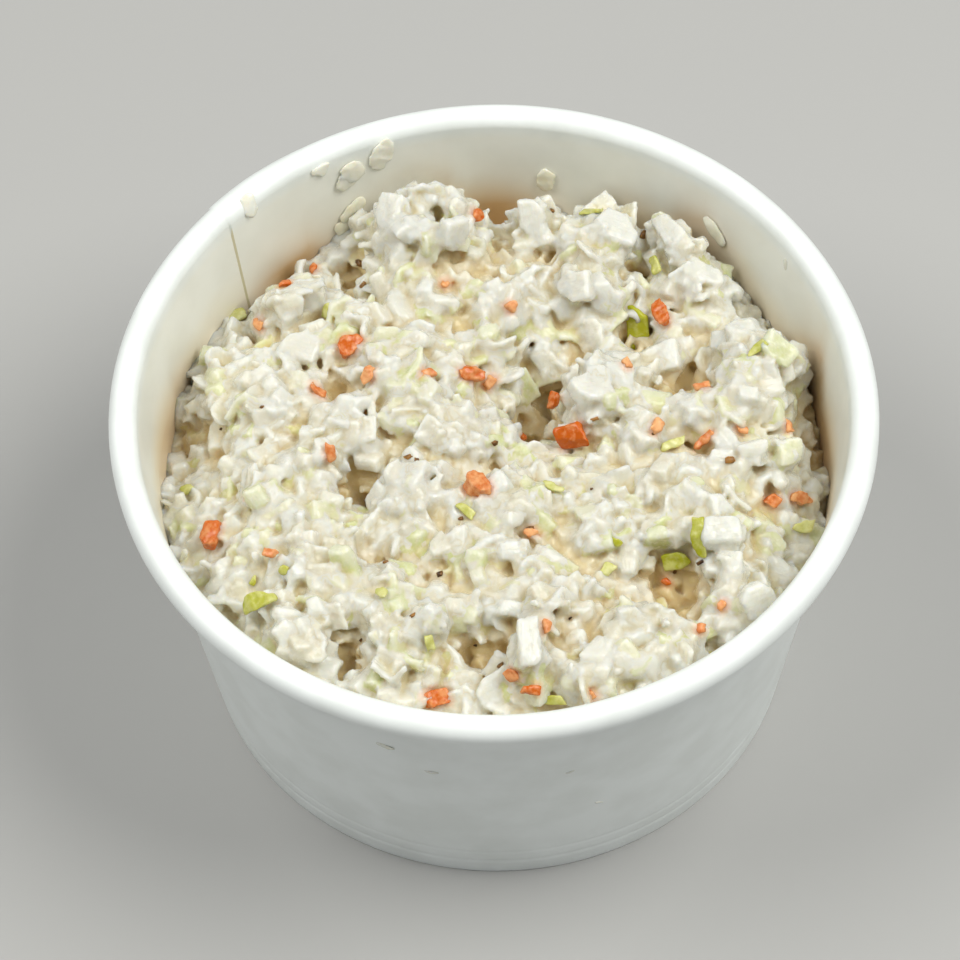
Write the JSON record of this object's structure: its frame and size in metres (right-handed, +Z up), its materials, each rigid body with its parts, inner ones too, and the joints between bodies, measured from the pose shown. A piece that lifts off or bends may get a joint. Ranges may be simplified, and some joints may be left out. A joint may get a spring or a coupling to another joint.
{
  "type": "coleslaw",
  "caption": "Chopped cabbage and carrot salad in creamy dressing, heaped to just under the rolled rim of an open tapered paper cup.",
  "frame": {"origin": "middle of the ring that the cup stands on, at the level of the surface under it", "axes": "+Z up out of the cup's mouth, -Y towards the viewer, +X to the viewer's right"},
  "size_m": [0.096, 0.096, 0.051],
  "materials": {
    "coated_paper": "white paperboard with a thin satin moisture coating",
    "dressed_cabbage": "chopped cabbage wet with creamy dressing, with carrot and green bits"
  },
  "bodies": {
    "root": {"cup_sleeve": "coated_paper", "cup_floor": "coated_paper", "coleslaw": "dressed_cabbage"}
  },
  "joints": []
}
